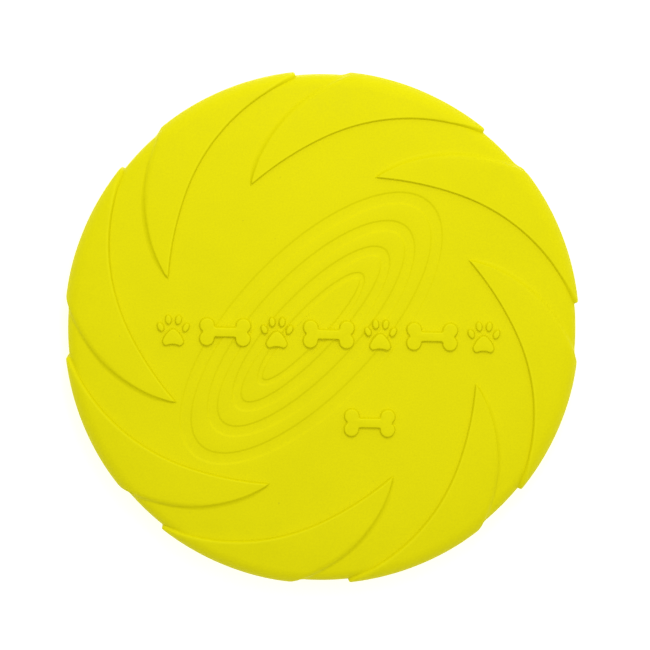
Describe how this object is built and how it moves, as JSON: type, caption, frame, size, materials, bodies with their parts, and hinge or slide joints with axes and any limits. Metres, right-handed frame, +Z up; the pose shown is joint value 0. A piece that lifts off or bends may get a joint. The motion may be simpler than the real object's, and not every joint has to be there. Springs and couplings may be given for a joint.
{
  "type": "flying disc",
  "caption": "Soft one-piece rubber flying disc for a dog: flat plate, rounded shoulder, thick lip, raised crescent blades, oval grooves and raised paw and bone motifs.",
  "frame": {"origin": "centre of the circle that the lip stands on, at the bottom of the lip", "axes": "+Z up, out of the top of the flight plate; +X along the row of raised motifs, +Y away from the reader of that row"},
  "size_m": [0.1792, 0.1792, 0.0236],
  "materials": {
    "soft_rubber": "matte chartreuse-yellow natural rubber, finely mottled, soft sheen"
  },
  "bodies": {
    "root": {"flight_plate": "soft_rubber", "shoulder_ring": "soft_rubber", "rim_wall": "soft_rubber", "grip_lip": "soft_rubber", "blade_1": "soft_rubber", "blade_2": "soft_rubber", "blade_3": "soft_rubber", "blade_4": "soft_rubber", "blade_5": "soft_rubber", "blade_6": "soft_rubber", "blade_7": "soft_rubber", "blade_8": "soft_rubber", "paw_relief_1": "soft_rubber", "paw_relief_2": "soft_rubber", "paw_relief_3": "soft_rubber", "paw_relief_4": "soft_rubber", "bone_relief_1": "soft_rubber", "bone_relief_2": "soft_rubber", "bone_relief_3": "soft_rubber", "bone_relief_4": "soft_rubber"}
  },
  "joints": []
}
